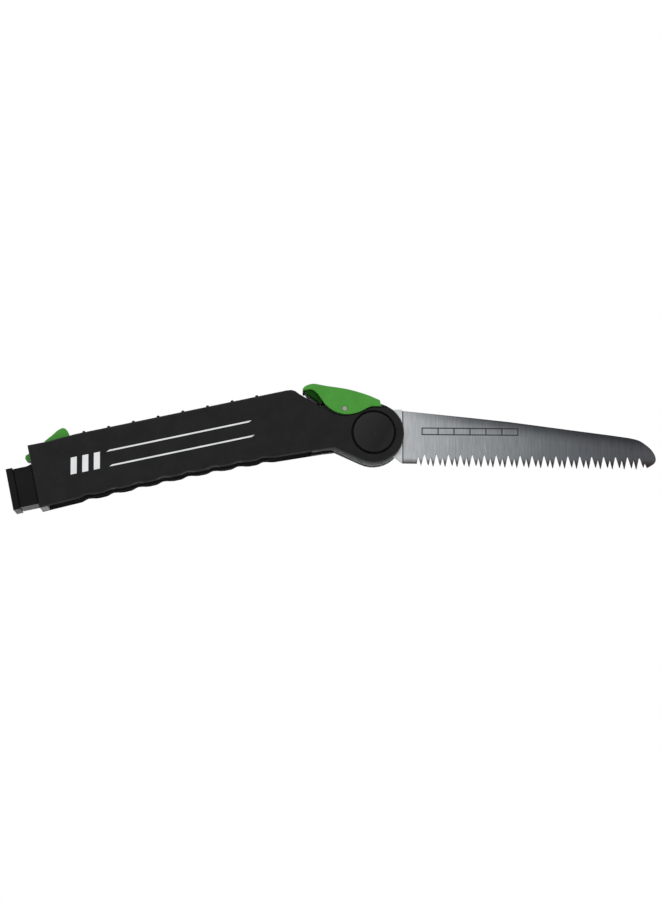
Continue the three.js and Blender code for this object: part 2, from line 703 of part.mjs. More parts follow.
const LATCH_SPRING = { radius: 2.4, wire: 0.4, turns: 3, low: 40.2, high: 43.4, along: -274.5 };

function addLatchSpring() {
  addPart('latch_spring', coil(LATCH_SPRING), paint.steel());
}

addShells();
addShellScrews();
addGripStrip();
addRearFoot();
addLiners();
addPivot();
addPivotCaps();
addPins();
addBlade();
addTangPlates();
addLockLever();
addLockSpring();
addSection();
addGuideShoe();
addEndCap();
addLatchLever();
addLatchSpring();

export default root;
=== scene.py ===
"""The looks of a folding, extendable pruning saw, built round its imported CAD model.

Metres, in the row frame: +X along the handle towards the blade, +Y across it, +Z up.
Outlines are written in millimetres about the blade's pivot, as (along, up) pairs.
"""
import json
import math

import bmesh
import bpy
from mathutils import Matrix, Vector
from mathutils.geometry import delaunay_2d_cdt


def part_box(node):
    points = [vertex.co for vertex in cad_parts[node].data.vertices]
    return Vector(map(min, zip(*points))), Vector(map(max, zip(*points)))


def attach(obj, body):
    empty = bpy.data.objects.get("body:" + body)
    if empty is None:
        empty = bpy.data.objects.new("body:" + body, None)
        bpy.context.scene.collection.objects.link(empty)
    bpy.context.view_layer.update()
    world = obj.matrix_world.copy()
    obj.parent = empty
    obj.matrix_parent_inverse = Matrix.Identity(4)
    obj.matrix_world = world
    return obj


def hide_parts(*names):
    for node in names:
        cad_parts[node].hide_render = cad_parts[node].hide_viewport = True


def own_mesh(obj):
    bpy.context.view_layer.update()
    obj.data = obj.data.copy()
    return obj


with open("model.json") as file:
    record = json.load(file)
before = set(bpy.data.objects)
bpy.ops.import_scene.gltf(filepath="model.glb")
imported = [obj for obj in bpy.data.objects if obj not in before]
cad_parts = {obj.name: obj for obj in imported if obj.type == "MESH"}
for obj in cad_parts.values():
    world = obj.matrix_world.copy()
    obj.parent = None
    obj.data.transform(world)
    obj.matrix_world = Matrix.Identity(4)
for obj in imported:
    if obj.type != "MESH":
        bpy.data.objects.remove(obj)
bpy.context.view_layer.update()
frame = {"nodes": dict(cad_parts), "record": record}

MM = 0.001
WELD = 1e-6
CAD_WELD = 2e-6
FLAT_ANGLE = math.radians(0.6)
HARD_ANGLE = math.radians(38)
BODY_OF = {"blade": "saw_blade", "lever": "blade_lock", "latch": "length_latch", "section": "extension"}
SIDES = ((-1, "right"), (1, "left"))


def centre(node):
    low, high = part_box(node)
    return Vector([(a + b) / 2 for a, b in zip(low, high)])


PIVOT = centre("pivot_bolt")
PIVOT.y = 0

# The blade, in its own level axes. It droops from there.
BLADE_DROOP = math.radians(12.4)
BLADE_HALF = 0.65
TOOTH_PITCH = 10.84
TOOTH_PAIRS = 18
FIRST_GULLET = 46.5
TOOTH_LINE = -27.4
TOOTH_LINE_SLOPE = -0.008
DEEP_GULLET = 10.2
SHALLOW_GULLET = 7.4
FLANK = 0.8
PLATE_EDGE = 26.8
HEEL = (18.4, -19.4)
TANG_RADIUS = 19.8
TANG_ARC_DEG = (27.3, 310)
SLEEVE_HOLE = 7.3
INSIDE_WITH_HOLES = 2
FILL_WELD = 1e-5
BLADE_TIP = [(248.4, -28.0), (251.0, -26.9), (254.8, -24.4), (256.5, -21.2), (255.8, -16.8), (253.0, -12.0),
             (248.4, -7.6), (241.5, -3.1), (233.0, -0.9)]
BLADE_BACK = [(215, 1.6), (179, 6.1), (124.4, 13.1), (88, 16.8), (26.6, 22.7), (17.6, 22.7)]

# Blade points as (point, shift on the near face, shift on the far face). Shifts make the ground flanks.
NONE = (0, 0)
BLADE_ROOT = [
    ((PLATE_EDGE, -25.7), NONE, NONE),
    ((39.6, -25.8), NONE, NONE),
    ((41.0, -19.4), (0, 0.3), NONE),
    ((43.4, -27.6), (0.1, 1.6), NONE),
]
# These two start at a deep gullet, on the line of the tooth points.
TOOTH_PAIR = [
    ((-0.15, DEEP_GULLET - 0.2), (-FLANK, 0.5), NONE),
    ((0.15, DEEP_GULLET), NONE, (FLANK, 0.5)),
    ((3.1, 0.2), NONE, (0, 2.2)),
    ((3.7, 0.2), NONE, (0, 2.2)),
    ((5.5, SHALLOW_GULLET - 0.2), NONE, (-FLANK, 0.5)),
    ((5.7, SHALLOW_GULLET), (FLANK, 0.5), NONE),
    ((7.6, -0.7), (0, 2.2), NONE),
    ((8.2, -0.7), (0, 2.2), NONE),
]
LAST_TOOTH = [
    ((-0.3, DEEP_GULLET - 1), (-FLANK, 0.4), NONE),
    ((0.3, DEEP_GULLET - 1), NONE, (FLANK, 0.4)),
    ((3.2, 0.4), NONE, (0, 1.6)),
    ((4.9, SHALLOW_GULLET - 2.6), NONE, NONE),
    ((6.8, 0.6), NONE, NONE),
]

# The etched scale on the blade.
MARK_START = 44
MARK_PITCH = 14.5
MARK_TICKS = 7
MARK_LINE = 1
MARK_LINES_LOW = (0.5, 6.5)
TICK_LOW = 1.4
TICK_HIGH = 6.6

# The pattern printed on the handle.
PRINT_FACE = 15
PRINT_LOW = 18.5
PRINT_TALL = 15.0
PRINT_SKEW = 3.0
BAR_COUNT = 3
BAR_REAR = -273
BAR_PITCH = 10.5
BAR_WIDE = 5.5
LINE_ENDS = (-238, -108)
LINE_TALL = 1.4
INK_HALF = 0.05

# The lock lever: its hood, the web and skirts under the thumb tab, and the nose.
HOOD_TOP = [(-54.2, 52.2), (-53.4, 53.7), (-50.9, 55.1), (-46.5, 55.6), (-42.5, 55.0), (-38.1, 53.2),
            (-31.0, 50.3), (-22.0, 47.0), (-12.4, 43.0), (1.3, 35.5), (11.9, 28.0)]
HOOD_LOW = [(-54.2, 51.8), (-52.0, 51.2), (-48.6, 51.0), (-45.0, 49.4), (-42.0, 45.5), (-39.4, 39.5),
            (-37.0, 34.0), (-33.7, 29.5), (-29.3, 25.4), (-22.0, 21.7), (-14.3, 20.6), (-6.9, 21.2),
            (2.2, 23.7), (7.0, 23.0), (11.9, 21.9)]
HOOD_STATIONS = 60
HOOD_END_GAPS = (0.2, 0.1)
TAB_HALF = 12.6
TAB_FLARE = 2.9
TAB_LENGTH = 14.0
HOOD_WALL = 2.6
TIP_WALL = 0.8
WALL_GROWTH = 0.35
CHEEK_WALL = 3.0
HOOD_CORNER = 2.4
INNER_CORNER_SHARE = 0.6
RIM = 0.9
THINNEST_TAB = 0.5
THINNEST_ROOM = 0.05
SMALLEST_BEND = 0.04
RIM_ANGLES = (math.pi / 2, math.pi / 4, 0)
BEND_ANGLES = [math.pi - math.pi / 10 * i for i in range(6)]
LOCK_PIN = (-20.9, 26.7)
LOCK_PIN_HOLE = 2.5
TAB_WEB = [(-52.6, 52.2), (-51.2, 48.2), (-43.4, 40.0), (-42.0, 40.0), (-41.6, 42.2), (-36.0, 42.2),
           (-35.0, 50.2), (-44.0, 53.4), (-50.0, 53.2)]
WEB_HALF = 10.5
SKIRT = [(-43.4, 40.0), (-41.4, 37.9), (-36.4, 37.5), (-35.6, 43.0), (-43.4, 43.0)]
SKIRT_INNER = 4.5
SKIRT_OUTER = 10.1
NOSE = [(1.5, 33), (1.5, 21.3), (9.6, 19.6), (10.2, 27)]
NOSE_HALF = 2.8

# The pivot caps, as radii and as distances from the middle of the handle.
CAP_RADIUS = 18.3
CAP_BACK = 13.5
CAP_FACE = 17.6
CAP_EDGE = 1.5
CAP_CROWN = 0.6
CAP_DIMPLE = 2.2

# Each spring's node, the joint that presses it, and the share of its height left at that joint's limit.
SPRINGS = (("lock_spring", "blade_lock_rock", 0.74), ("latch_spring", "length_latch_rock", 0.66))

# The camera sits a little below the saw and is rolled, with the pivot right of centre.
AZIMUTH = math.radians(-3.5)
ELEVATION = math.radians(-10)
ROLL = math.radians(12.4)
DISTANCE = 1.8
SCALE = 0.906 * MM
FRAME_HEIGHT = 900
PIVOT_RIGHT = 43.0
PIVOT_UP = 14.6

FLOOR_LEVEL = -0.75
FLOOR_REACH = 30.0

# Name, place from the pivot, size and power of each light.
LIGHTS = (
    ("key", (-0.6, -1.1, 1.4), (1.2, 0.8), 4),
    ("low_front", (0.0, -0.55, -0.95), (1.6, 0.06), 12),
)


# ---------- shared mesh helpers ----------

def at(along, across, up):
    """A point in the row frame from millimetres about the pivot."""
    return PIVOT + Vector((along, across, up)) * MM


def new_object(name, mesh, material=None):
    if material:
        mesh.materials.append(material)
    obj = bpy.data.objects.new(name, mesh)
    bpy.context.scene.collection.objects.link(obj)
    return obj


def mesh_from(name, vertices, faces):
    """A closed mesh with its normals outward."""
    mesh = bpy.data.meshes.new(name)
    mesh.from_pydata([tuple(v) for v in vertices], [], faces)
    tidy = bmesh.new()
    tidy.from_mesh(mesh)
    bmesh.ops.remove_doubles(tidy, verts=tidy.verts, dist=WELD)
    bmesh.ops.recalc_face_normals(tidy, faces=tidy.faces)
    tidy.to_mesh(mesh)
    tidy.free()
    return mesh


def shade(mesh, crease_deg=35):
    """Smooth faces that stay creased at edges sharper than crease_deg."""
    for face in mesh.polygons:
        face.use_smooth = True
    tidy = bmesh.new()
    tidy.from_mesh(mesh)
    limit = math.radians(crease_deg)
    for edge in tidy.edges:
        edge.smooth = len(edge.link_faces) == 2 and edge.calc_face_angle() < limit
    tidy.to_mesh(mesh)
    tidy.free()


def keep_flats(obj):
    """Lets broad faces keep their own shading beside rounded edges."""
    weighted = obj.modifiers.new("flat_shading", "WEIGHTED_NORMAL")
    weighted.keep_sharp = True


def round_edges(work, edges, round_mm, segments):
    bmesh.ops.bevel(work, geom=edges, offset=round_mm * MM, offset_type="OFFSET", segments=segments,
                    profile=0.5, affect="EDGES", clamp_overlap=True)


def refined(node, name, body, material, edge_mm):
    """A copy of a CAD node with its flats joined up and its hard edges rounded."""
    work = bmesh.new()
    work.from_mesh(frame["nodes"][node].data)
    bmesh.ops.remove_doubles(work, verts=work.verts, dist=CAD_WELD)
    bmesh.ops.dissolve_limit(work, angle_limit=FLAT_ANGLE, verts=work.verts, edges=work.edges)
    hard = [e for e in work.edges if len(e.link_faces) == 2 and e.calc_face_angle() > HARD_ANGLE]
    round_edges(work, hard, edge_mm, segments=2)
    bmesh.ops.triangulate(work, faces=[f for f in work.faces if len(f.verts) > 4])
    mesh = bpy.data.meshes.new(name)
    work.to_mesh(mesh)
    work.free()
    shade(mesh)
    obj = new_object(name, mesh, material)
    keep_flats(obj)
    stand_for(obj, body, node)


def slot_of(node):
    return next(entry["material_slot"] for entry in frame["record"]["subparts"] if entry["node"] == node)


def stand_for(obj, body, node):
    """Lets obj ride a body in place of a CAD node."""
    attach(obj, body)
    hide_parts(node)


def cut(obj, tool):
    """Takes the tool out of obj and deletes the tool."""
    hole = obj.modifiers.new("hole", "BOOLEAN")
    hole.operation = "DIFFERENCE"
    hole.solver = "EXACT"
    hole.object = tool
    graph = bpy.context.evaluated_depsgraph_get()
    mesh = bpy.data.meshes.new_from_object(obj.evaluated_get(graph))
    obj.modifiers.clear()
    obj.data = mesh
    bpy.data.objects.remove(tool, do_unlink=True)


def rod(name, radius, across0, across1, along, up, sides=48):
    """A plain round bar across the handle, used to cut holes."""
    rings = []
    for across in (across0, across1):
        for i in range(sides):
            angle = 2 * math.pi * i / sides
            rings.append(at(along + radius * math.cos(angle), across, up + radius * math.sin(angle)))
    faces = [[i, (i + 1) % sides, sides + (i + 1) % sides, sides + i] for i in range(sides)]
    faces += [list(range(sides)), list(range(2 * sides - 1, sides - 1, -1))]
    return new_object(name, mesh_from(name, rings, faces))


def turned(name, profile, material, sides=96):
    """A turned shape about the pivot's axis, from (radius, across) points."""
    vertices = []
    for i in range(sides):
        angle = 2 * math.pi * i / sides
        for radius, across in profile:
            vertices.append(at(radius * math.cos(angle), across, radius * math.sin(angle)))
    count = len(profile)
    faces = []
    for i in range(sides):
        j = (i + 1) % sides
        for k in range(count):
            m = (k + 1) % count
            faces.append([i * count + k, i * count + m, j * count + m, j * count + k])
    mesh = mesh_from(name, vertices, faces)
    shade(mesh)
    return new_object(name, mesh, material)


def spline(points, per_span):
    """A smooth line through the points (Catmull-Rom)."""
    points = [Vector(p) for p in points]
    padded = [2 * points[0] - points[1], *points, 2 * points[-1] - points[-2]]
    line = []
    for i in range(1, len(padded) - 2):
        before, start, end, after = padded[i - 1:i + 3]
        for step in range(per_span):
            t = step / per_span
            line.append(0.5 * (2 * start + (end - before) * t
                               + (2 * before - 5 * start + 4 * end - after) * t * t
                               + (3 * start - before - 3 * end + after) * t ** 3))
    line.append(points[-1])
    return line


def height_on(line, along):
    """The height of a line of (along, up) points at one place along it."""
    for first, second in zip(line, line[1:]):
        low, high = sorted((first[0], second[0]))
        if low <= along <= high and high > low:
            share = (along - first[0]) / (second[0] - first[0])
            return first[1] + share * (second[1] - first[1])
    ends = sorted((line[0], line[-1]), key=lambda p: abs(p[0] - along))
    return ends[0][1]


def prism(points, near, far, round_mm):
    """A closed, edge-rounded solid from a side outline, as a mesh."""
    work = bmesh.new()
    base = [work.verts.new(at(x, near, z)) for x, z in points]
    face = work.faces.new(base)
    moved = bmesh.ops.extrude_face_region(work, geom=[face])["geom"]
    shift = Vector((0, (far - near) * MM, 0))
    bmesh.ops.translate(work, verts=[g for g in moved if isinstance(g, bmesh.types.BMVert)], vec=shift)
    bmesh.ops.recalc_face_normals(work, faces=work.faces)
    round_edges(work, work.edges[:], round_mm, segments=3)
    mesh = bpy.data.meshes.new("prism")
    work.to_mesh(mesh)
    work.free()
    return mesh


def join_into(obj, *meshes):
    """Adds closed meshes to obj's own."""
    work = bmesh.new()
    work.from_mesh(obj.data)
    for mesh in meshes:
        work.from_mesh(mesh)
    work.to_mesh(obj.data)
    work.free()


# ---------- materials ----------

def grey(value):
    return (value, value, value)


# Spans where the blade's painted reflection and painted shade change, in metres from the pivot, and the
# tints across them.
PAINTED_FADE_SPAN = (0.02, 0.25)
BACK_SLOPE = 0.1164
BACK_LINE = 0.025
BACK_SHADE = (BACK_LINE - 0.011, BACK_LINE - 0.001)
BACK_EDGE = (BACK_LINE, BACK_LINE + 0.0018)
PLATE_FRONT = 0.0263
PLATE_SHADOW_SPAN = (PLATE_FRONT, PLATE_FRONT + 0.0016)
POINT_ZONE = (-0.028, -0.020)
# Painted reflection: the steel is lighter at its root and darker towards its tip.
STEEL_AND_PAINTED_REFLECTION_TINTS = [(0.0, (0.62, 0.645, 0.655)), (0.12, (0.42, 0.44, 0.455)), (0.35, (0.30, 0.32, 0.33)),
               (0.55, (0.185, 0.20, 0.212)), (0.78, (0.105, 0.112, 0.122)), (1.0, (0.088, 0.088, 0.098))]
LINE_TINTS = [(0.3, grey(0.80)), (0.7, grey(1.0))]
STREAK_TINTS = [(0.32, (0.84, 0.84, 0.85)), (0.68, grey(1.1))]
PATCH_TINTS = [(0.3, grey(0.88)), (0.7, grey(1.0))]
# Painted shade towards the blade's back, and along its back edge.
BACK_PAINTED_SHADE_TINTS = [(0.0, grey(1)), (0.5, grey(0.8)), (1.0, (0.42, 0.42, 0.43))]
BACK_EDGE_PAINTED_SHADE_TINTS = [(0.0, grey(1)), (1.0, grey(0.5))]
# Painted shadow along the front of the tang plate.
PLATE_PAINTED_SHADOW_TINTS = [(0.0, grey(0.12)), (0.55, grey(0.3)), (1.0, grey(1))]
POINT_SHARES = [(0.0, grey(1)), (0.4, grey(0.85)), (0.9, grey(0)), (1.0, grey(0))]
POINT_COLOUR = (0.030, 0.022, 0.018)

# The slanted band of painted sheen and shade across the pivot caps.
CAP_SHADE_BAND_HALF = 0.020
CAP_PAINTED_SHADE_TINTS = [(0.0, (0.0095, 0.0095, 0.0103)), (0.5, (0.0048, 0.0048, 0.0055)),
             (0.85, (0.0012, 0.0012, 0.0016)), (1.0, (0.0045, 0.0045, 0.0052))]


class Nodes:
    """Builds one material's node tree with short calls."""

    def __init__(self, name):
        self.material = bpy.data.materials.new(name)
        self.material.use_nodes = True
        self.tree = self.material.node_tree
        self.shader = self.tree.nodes["Principled BSDF"]
        self.place = self.tree.nodes.new("ShaderNodeTexCoord").outputs["Object"]

    def add(self, kind, **values):
        node = self.tree.nodes.new(kind)
        for key, value in values.items():
            if hasattr(node, key):
                setattr(node, key, value)
            else:
                node.inputs[key.replace("_", " ")].default_value = value
        return node

    def link(self, start, end):
        self.tree.links.new(start, end)

    def set(self, **values):
        for key, value in values.items():
            self.shader.inputs[key.replace("_", " ")].default_value = value

    def noise(self, scale, detail, stretch=(1, 1, 1)):
        mapping = self.add("ShaderNodeMapping", Scale=stretch)
        self.link(self.place, mapping.inputs["Vector"])
        noise = self.add("ShaderNodeTexNoise", Scale=scale, Detail=detail)
        self.link(mapping.outputs["Vector"], noise.inputs["Vector"])
        return noise.outputs["Fac"]

    def ramp(self, source, stops):
        """Turns a value into a colour by (position, colour) stops."""
        ramp = self.add("ShaderNodeValToRGB")
        marks = ramp.color_ramp.elements
        for i, (position, colour) in enumerate((stops[0], stops[-1])):
            marks[i].position = position
            marks[i].color = (*colour, 1)
        for position, colour in stops[1:-1]:
            marks.new(position).color = (*colour, 1)
        self.link(source, ramp.inputs["Fac"])
        return ramp.outputs["Color"]

    def range(self, source, span, result=(0.0, 1.0)):
        """Moves a value from one span to another."""
        node = self.add("ShaderNodeMapRange", From_Min=span[0], From_Max=span[1],
                        To_Min=result[0], To_Max=result[1])
        self.link(source, node.inputs["Value"])
        return node.outputs["Result"]

    def mix(self, share, first, second, how="MIX"):
        node = self.tree.nodes.new("ShaderNodeMix")
        node.data_type = "RGBA"
        node.blend_type = how
        share_socket, first_socket, second_socket = node.inputs[0], node.inputs[6], node.inputs[7]
        for socket, value in ((share_socket, share), (first_socket, first), (second_socket, second)):
            if hasattr(value, "is_linked"):
                self.link(value, socket)
            elif socket == share_socket:
                socket.default_value = value
            else:
                socket.default_value = (*value, 1)
        return node.outputs[2]

    def times(self, first, second):
        return self.mix(1.0, first, second, "MULTIPLY")

    def maths(self, operation, *values):
        """One sum of sockets and plain numbers."""
        node = self.add("ShaderNodeMath", operation=operation)
        for socket, value in zip(node.inputs, values):
            if hasattr(value, "is_linked"):
                self.link(value, socket)
            else:
                socket.default_value = value
        return node.outputs[0]

    def axis(self, name):
        split = self.tree.nodes.new("ShaderNodeSeparateXYZ")
        self.link(self.place, split.inputs["Vector"])
        return split.outputs[name]

    def colour(self, source):
        self.link(source, self.shader.inputs["Base Color"])

    def rough(self, source, roughness):
        """Roughness that wanders between two values."""
        self.link(self.range(source, (0.3, 0.7), roughness), self.shader.inputs["Roughness"])

    def bump(self, source, strength, distance_mm):
        node = self.add("ShaderNodeBump", Strength=strength, Distance=distance_mm * MM)
        self.link(source, node.inputs["Height"])
        self.link(node.outputs["Normal"], self.shader.inputs["Normal"])


def moulded(name, dark, light, rough=(0.5, 0.66), grain=2600, grain_strength=0.25, gloss=0.3):
    """Moulded plastic with a fine spark-eroded grain."""
    n = Nodes(name)
    n.colour(n.ramp(n.noise(scale=60, detail=4), [(0.35, dark), (0.65, light)]))
    n.rough(n.noise(scale=180, detail=3), rough)
    n.bump(n.noise(scale=grain, detail=2), grain_strength, distance_mm=0.05)
    n.set(Specular_IOR_Level=gloss)
    return n.material


def plain_steel(name, dark, light, rough=(0.28, 0.42)):
    n = Nodes(name)
    n.colour(n.ramp(n.noise(scale=300, detail=3), [(0.3, dark), (0.7, light)]))
    n.rough(n.noise(scale=500, detail=3), rough)
    n.bump(n.noise(scale=2200, detail=2), strength=0.1, distance_mm=0.03)
    n.set(Metallic=1.0)
    return n.material


def ground_steel(n, along, lines):
    """The steel's colour along the blade with a painted reflection that darkens it towards the tip, and
    grinding lines, broader streaks and faint patches.
    """
    streaks = n.noise(scale=60, detail=3, stretch=(13, 1, 0.9))
    patches = n.noise(scale=28, detail=3, stretch=(1, 1, 0.5))
    steel = n.ramp(along, STEEL_AND_PAINTED_REFLECTION_TINTS)
    for source, tints in ((lines, LINE_TINTS), (streaks, STREAK_TINTS), (patches, PATCH_TINTS)):
        steel = n.times(steel, n.ramp(source, tints))
    return steel


def steel_with_painted_shade(n, along, steel):
    """Painted shade darkening the blade towards its back, more so towards its tip, and painted shadow along
    the front of the tang plate.
    """
    towards_back = n.maths("MULTIPLY_ADD", n.axis("X"), BACK_SLOPE, n.axis("Z"))
    shade_share = n.range(along, (0.0, 0.3), (0.15, 1.0))
    back_shade = n.ramp(n.range(towards_back, BACK_SHADE), BACK_PAINTED_SHADE_TINTS)
    steel = n.mix(shade_share, steel, n.times(steel, back_shade))
    steel = n.times(steel, n.ramp(n.range(n.axis("X"), PLATE_SHADOW_SPAN), PLATE_PAINTED_SHADOW_TINTS))
    return n.times(steel, n.ramp(n.range(towards_back, BACK_EDGE), BACK_EDGE_PAINTED_SHADE_TINTS))


def blade_steel(name):
    """Steel ground across the blade, with painted reflection and shade darkening it towards its tip and
    back, and hardened tooth points.
    """
    n = Nodes(name)
    level = n.add("ShaderNodeMapping", vector_type="TEXTURE", Location=PIVOT, Rotation=(0, BLADE_DROOP, 0))
    n.link(n.place, level.inputs["Vector"])
    n.place = level.outputs["Vector"]
    along = n.range(n.axis("X"), PAINTED_FADE_SPAN)
    lines = n.noise(scale=60, detail=5, stretch=(60, 1, 2.2))
    steel = steel_with_painted_shade(n, along, ground_steel(n, along, lines))
    hard = n.ramp(n.range(n.axis("Z"), POINT_ZONE), POINT_SHARES)
    n.colour(n.mix(hard, steel, POINT_COLOUR))
    n.rough(lines, (0.34, 0.5))
    n.bump(lines, strength=0.12, distance_mm=0.03)
    n.set(Metallic=0.9)
    return n.material


def cap_plastic(name):
    """Smooth black plastic with painted sheen and shade: a darker band painted slantwise across it."""
    n = Nodes(name)
    slant = n.maths("SUBTRACT", n.axis("X"), n.axis("Z"))
    middle = PIVOT.x - PIVOT.z
    # Painted sheen and shade in a slanted band across the cap.
    n.colour(n.ramp(n.range(slant, (middle - CAP_SHADE_BAND_HALF, middle + CAP_SHADE_BAND_HALF)), CAP_PAINTED_SHADE_TINTS))
    n.rough(n.noise(scale=180, detail=3), (0.34, 0.46))
    n.bump(n.noise(scale=2600, detail=2), strength=0.15, distance_mm=0.05)
    n.set(Specular_IOR_Level=0.2)
    return n.material


SHELL_PLASTIC = moulded("shell_plastic", (0.0045, 0.0045, 0.0050), (0.0070, 0.0070, 0.0076), gloss=0.17)
CAP_FACE_PAINTED_SHADE = cap_plastic("pivot_cap_painted_shade")
CAP_PLASTIC = moulded("cap_plastic", (0.0032, 0.0032, 0.0038), (0.0048, 0.0048, 0.0054),
                      rough=(0.34, 0.46), gloss=0.1)
GRIP_RUBBER = moulded("grip_rubber", (0.009, 0.009, 0.010), (0.014, 0.014, 0.015),
                      rough=(0.7, 0.85), gloss=0.2)
FOOT_PLASTIC = moulded("foot_plastic", (0.13, 0.13, 0.125), (0.18, 0.18, 0.17))
GREEN_PLASTIC = moulded("green_plastic", (0.046, 0.235, 0.026), (0.056, 0.270, 0.032),
                        rough=(0.36, 0.48), grain=1800, grain_strength=0.12, gloss=0.2)
# A darker copy of the green plastic: painted shade for the web under the thumb tab.
GREEN_PAINTED_SHADE = moulded("green_plastic_painted_shade", (0.005, 0.048, 0.003), (0.008, 0.062, 0.005), gloss=0.05)
BLACK_METAL = moulded("black_anodised", (0.008, 0.008, 0.009), (0.013, 0.013, 0.014),
                      rough=(0.35, 0.5), gloss=0.4)
WHITE_INK = moulded("white_ink", (0.62, 0.63, 0.64), (0.72, 0.73, 0.74), grain=1500)
DARK_ETCH = moulded("dark_etch", (0.010, 0.010, 0.012), (0.018, 0.018, 0.02), grain=1500)
BLADE_STEEL = blade_steel("blade_steel")
PLATE_STEEL = plain_steel("plate_steel", (0.50, 0.52, 0.52), (0.62, 0.64, 0.64))
PIN_STEEL = plain_steel("pin_steel", (0.27, 0.26, 0.235), (0.36, 0.35, 0.32))
DULL_STEEL = plain_steel("dull_steel", (0.28, 0.29, 0.30), (0.38, 0.39, 0.40), rough=(0.35, 0.5))


# ---------- blade ----------

def blade_frame():
    """The blade's own axes: level, about the pivot, before it droops."""
    return Matrix.Translation(PIVOT) @ Matrix.Rotation(BLADE_DROOP, 4, "Y")


def arc(radius, from_deg, to_deg, steps):
    step = math.radians(to_deg - from_deg) / steps
    start = math.radians(from_deg)
    angles = [start + step * i for i in range(steps + 1)]
    return [(radius * math.cos(a), radius * math.sin(a)) for a in angles]


def shifted(rows, along=0.0, up=0.0):
    """(near point, far point) pairs from rows of blade points, moved to a place on the blade."""
    return [tuple((along + point[0] + shift[0], up + point[1] + shift[1]) for shift in (near, far))
            for point, near, far in rows]


def blade_outline():
    """(near point, far point) pairs. Each tooth's flanks are ground on one face only, turn about."""
    pairs = shifted(BLADE_ROOT)
    for i in range(TOOTH_PAIRS + 1):
        start = TOOTH_PITCH * i
        rows = LAST_TOOTH if i == TOOTH_PAIRS else TOOTH_PAIR
        pairs += shifted(rows, FIRST_GULLET + start, TOOTH_LINE + TOOTH_LINE_SLOPE * start)
    per_span = 4
    rounded_tip = spline(BLADE_TIP, per_span)[per_span:]
    plain = [*rounded_tip, *BLADE_BACK, *arc(TANG_RADIUS, *TANG_ARC_DEG, 28), HEEL]
    return pairs + shifted([(point, NONE, NONE) for point in plain])


def filled(points, rim):
    """Triangles between an outline, the first rim points, and the hole inside it."""
    flat = [Vector((p.x, p.z)) for p in points]
    loops = [list(range(rim)), list(range(rim, len(points)))]
    _, _, triangles, sources, _, _ = delaunay_2d_cdt(flat, [], loops, INSIDE_WITH_HOLES, FILL_WELD)
    return [[sources[k][0] for k in triangle] for triangle in triangles]


def add_blade():
    outline = blade_outline()
    hole = arc(SLEEVE_HOLE, 360, 0, 32)[:-1]
    near = [Vector((x, -BLADE_HALF, z)) for x, z in [pair[0] for pair in outline] + hole]
    far = [Vector((x, BLADE_HALF, z)) for x, z in [pair[1] for pair in outline] + hole]
    rim, ring = len(outline), len(hole)
    across = rim + ring
    faces = filled(near, rim)
    faces += [[across + k for k in triangle] for triangle in filled(far, rim)]
    for first, count in ((0, rim), (rim, ring)):
        for i in range(count):
            j = (i + 1) % count
            faces.append([first + i, first + j, across + first + j, across + first + i])
    mesh = mesh_from("saw_blade_steel", [v * MM for v in near + far], faces)
    mesh.transform(blade_frame())
    shade(mesh, crease_deg=20)
    stand_for(new_object("saw_blade_steel", mesh, BLADE_STEEL), BODY_OF["blade"], "blade")


# ---------- printed and etched marks ----------

def printed(name, bars, face, material, skew=0.0):
    """Thin closed pads on a flat side: one for each (along0, along1, low, high) bar, in millimetres."""
    vertices, faces = [], []
    inward = math.copysign(INK_HALF, face)
    for along0, along1, low, high in bars:
        start = len(vertices)
        corners = ((along0, low), (along1, low), (along1 + skew, high), (along0 + skew, high))
        for across in (face - inward, face + inward):
            vertices += [Vector((x, across, z)) * MM for x, z in corners]
        for ring in ((0, 1, 2, 3), (7, 6, 5, 4), (0, 4, 5, 1), (1, 5, 6, 2), (2, 6, 7, 3), (3, 7, 4, 0)):
            faces.append([start + k for k in ring])
    return new_object(name, mesh_from(name, vertices, faces), material)


def add_blade_mark():
    """A plain etched scale: two long lines with ticks between them."""
    ticks = [MARK_START + MARK_PITCH * i for i in range(MARK_TICKS)]
    bars = [(ticks[0], ticks[-1] + MARK_LINE, low, low + MARK_LINE) for low in MARK_LINES_LOW]
    bars += [(along, along + MARK_LINE, TICK_LOW, TICK_HIGH) for along in ticks]
    for side, word in SIDES:
        obj = printed(f"blade_mark_{word}", bars, side * BLADE_HALF, DARK_ETCH)
        obj.data.transform(blade_frame())
        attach(obj, BODY_OF["blade"])


def add_handle_print():
    """A plain pattern of slanted bars and two lines printed on each side of the handle."""
    high = PRINT_LOW + PRINT_TALL
    starts = [BAR_REAR + BAR_PITCH * i for i in range(BAR_COUNT)]
    bars = [(along, along + BAR_WIDE, PRINT_LOW, high) for along in starts]
    bars += [(*LINE_ENDS, low, low + LINE_TALL) for low in (PRINT_LOW, high - LINE_TALL)]
    for side, word in SIDES:
        obj = printed(f"handle_print_{word}", bars, side * PRINT_FACE, WHITE_INK, skew=PRINT_SKEW)
        obj.data.transform(Matrix.Translation(PIVOT))
        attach(obj, "handle")


# ---------- lock lever ----------

def hood_half(along):
    """Half the hood's width: narrower at the thumb tab's tip."""
    share = max(0.0, min(1.0, (along - HOOD_TOP[0][0]) / TAB_LENGTH))
    return TAB_HALF + TAB_FLARE * math.sin(share * math.pi / 2)


def u_line(half, top, low, corner, rim):
    """One line of an upside-down U, as (across, up) from its left foot over the top to its right foot."""
    bend = min(corner, max(top - low, SMALLEST_BEND))
    left = [(rim * (1 - math.cos(a)) - half, low + rim * (1 - math.sin(a))) for a in RIM_ANGLES]
    left += [(bend * (1 + math.cos(a)) - half, top - bend * (1 - math.sin(a))) for a in BEND_ANGLES]
    return left + [(-y, z) for y, z in reversed(left)]


